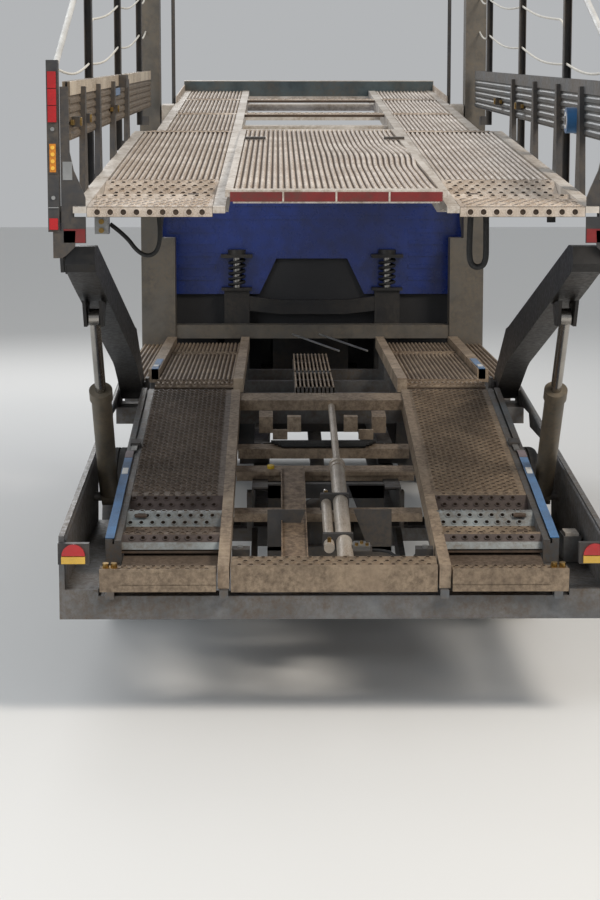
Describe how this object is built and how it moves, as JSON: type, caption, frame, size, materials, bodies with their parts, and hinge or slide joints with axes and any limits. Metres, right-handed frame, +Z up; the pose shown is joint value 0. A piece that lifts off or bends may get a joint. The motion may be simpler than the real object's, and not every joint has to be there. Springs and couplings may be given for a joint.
{
  "type": "car transporter truck",
  "caption": "Cab-over rigid lorry with a two-level vehicle-carrying body: level and sloping lower decks, tilting upper deck, lift arms and pull-out tail.",
  "frame": {"origin": "on the ground under the centre of the truck's bounding box", "axes": "+X forwards along the truck, +Y to its left, +Z up"},
  "size_m": [8.95, 2.79, 3.95],
  "materials": {
    "chassis_steel": "satin dark chassis paint",
    "engine_metal": "dark cast metal",
    "tank_metal": "satin dark",
    "galvanised": "dusty galvanised",
    "deck_lower": "dusty galvanised, brownish",
    "deck_upper": "dusty galvanised, pale",
    "column_dark": "dark grey",
    "arm_dark": "dark, worn",
    "cylinder_paint": "dark olive",
    "rod_chrome": "bright rod",
    "board_aluminium": "ribbed, satin",
    "post_dark": "dark grey",
    "rope_white": "white rope",
    "cab_paint": "deep blue",
    "cab_plastic": "dark grey",
    "lamp_lens": "clear",
    "tail_lens": "red",
    "window_glass": "tinted",
    "seat_fabric": "dark woven",
    "rim_steel": "silver",
    "tyre_rubber": "black"
  },
  "bodies": {
    "root": {"body_frame": "galvanised", "bumper": "cab_plastic", "cab_floor": "cab_plastic", "cab_front": "cab_paint", "cab_mounts": "chassis_steel", "cab_quarters": "cab_paint", "cab_rear_wall": "cab_paint", "cab_roof": "cab_paint", "chassis_frame": "chassis_steel", "dashboard": "cab_plastic", "driveline": "engine_metal", "front_axle": "chassis_steel", "front_deck": "deck_lower", "headlamps": "lamp_lens", "mirrors": "cab_plastic", "portal": "column_dark", "rear_axle": "chassis_steel", "seats": "seat_fabric", "side_tanks": "tank_metal", "tail_lamps": "tail_lens", "windscreen": "window_glass"},
    "knuckle_left": {"knuckle_left": "chassis_steel"},
    "knuckle_right": {"knuckle_right": "chassis_steel"},
    "wheel_front_left": {"rim_front_left": "rim_steel", "tyre_front_left": "tyre_rubber"},
    "wheel_front_right": {"rim_front_right": "rim_steel", "tyre_front_right": "tyre_rubber"},
    "wheels_rear_left": {"rims_rear_left": "rim_steel", "tyres_rear_left": "tyre_rubber"},
    "wheels_rear_right": {"rims_rear_right": "rim_steel", "tyres_rear_right": "tyre_rubber"},
    "door_left": {"door_left": "cab_paint", "door_glass_left": "window_glass"},
    "door_right": {"door_right": "cab_paint", "door_glass_right": "window_glass"},
    "upper_deck": {"upper_rear_deck": "deck_upper", "over_cab_deck": "deck_upper", "side_boards": "board_aluminium", "railing_posts": "post_dark", "safety_ropes": "rope_white"},
    "lift_arms": {"lift_arms": "arm_dark"},
    "lift_barrels": {"lift_barrels": "cylinder_paint"},
    "lift_rods": {"lift_rods": "rod_chrome"},
    "lower_deck": {"lower_deck": "deck_lower"},
    "tail_extension": {"tail_extension": "deck_lower"}
  },
  "joints": [
    {"name": "steer_left", "type": "hinge", "parent": "root", "child": "knuckle_left", "pos_m": [3.1, 0.85, 0.475], "axis": [0, 0, 1], "range_deg": [-38, 38]},
    {"name": "steer_right", "type": "hinge", "parent": "root", "child": "knuckle_right", "pos_m": [3.1, -0.85, 0.475], "axis": [0, 0, 1], "range_deg": [-38, 38]},
    {"name": "spin_front_left", "type": "hinge", "parent": "knuckle_left", "child": "wheel_front_left", "pos_m": [3.1, 1.02, 0.475], "axis": [0, 1, 0], "continuous": true},
    {"name": "spin_front_right", "type": "hinge", "parent": "knuckle_right", "child": "wheel_front_right", "pos_m": [3.1, -1.02, 0.475], "axis": [0, 1, 0], "continuous": true},
    {"name": "spin_rear_left", "type": "hinge", "parent": "root", "child": "wheels_rear_left", "pos_m": [-1.8, 1, 0.475], "axis": [0, 1, 0], "continuous": true},
    {"name": "spin_rear_right", "type": "hinge", "parent": "root", "child": "wheels_rear_right", "pos_m": [-1.8, -1, 0.475], "axis": [0, 1, 0], "continuous": true},
    {"name": "door_left_swing", "type": "hinge", "parent": "root", "child": "door_left", "pos_m": [3.933, 1.184, 1.6], "axis": [0, 0, -1], "range_deg": [0, 68]},
    {"name": "door_right_swing", "type": "hinge", "parent": "root", "child": "door_right", "pos_m": [3.933, -1.184, 1.6], "axis": [0, 0, 1], "range_deg": [0, 68]},
    {"name": "upper_deck_tilt", "type": "hinge", "parent": "root", "child": "upper_deck", "pos_m": [2.05, 0, 2.913], "axis": [0, 1, 0], "range_deg": [-8, 1.5]},
    {"name": "lift_arm_swing", "type": "hinge", "parent": "root", "child": "lift_arms", "pos_m": [-0.7, 0, 1.18], "axis": [0, 1, 0], "range_deg": [-14.2, 2.8]},
    {"name": "lift_barrel_swing", "type": "hinge", "parent": "root", "child": "lift_barrels", "pos_m": [-2.6, 0, 0.8], "axis": [0, 1, 0], "range_deg": [-28.2, 5.4]},
    {"name": "lift_rod_slide", "type": "slide", "parent": "lift_barrels", "child": "lift_rods", "axis": [-0.6134, 0, 0.7898], "range_m": [-0.385, 0.075]},
    {"name": "lower_deck_tilt", "type": "hinge", "parent": "root", "child": "lower_deck", "pos_m": [-1.03, 0, 1.15], "axis": [0, 1, 0], "range_deg": [0, 8]},
    {"name": "tail_slide", "type": "slide", "parent": "lower_deck", "child": "tail_extension", "axis": [0.9896, 0, 0.1437], "range_m": [0, 0.28]}
  ],
  "couplings": [
    {"joint": "steer_right", "follows": "steer_left", "ratio": 1},
    {"joint": "lift_arm_swing", "follows": "upper_deck_tilt", "ratio": 1.76},
    {"joint": "lift_barrel_swing", "follows": "upper_deck_tilt", "ratio": 3.5},
    {"joint": "lift_rod_slide", "follows": "upper_deck_tilt", "m_per_rad": 2.72}
  ]
}
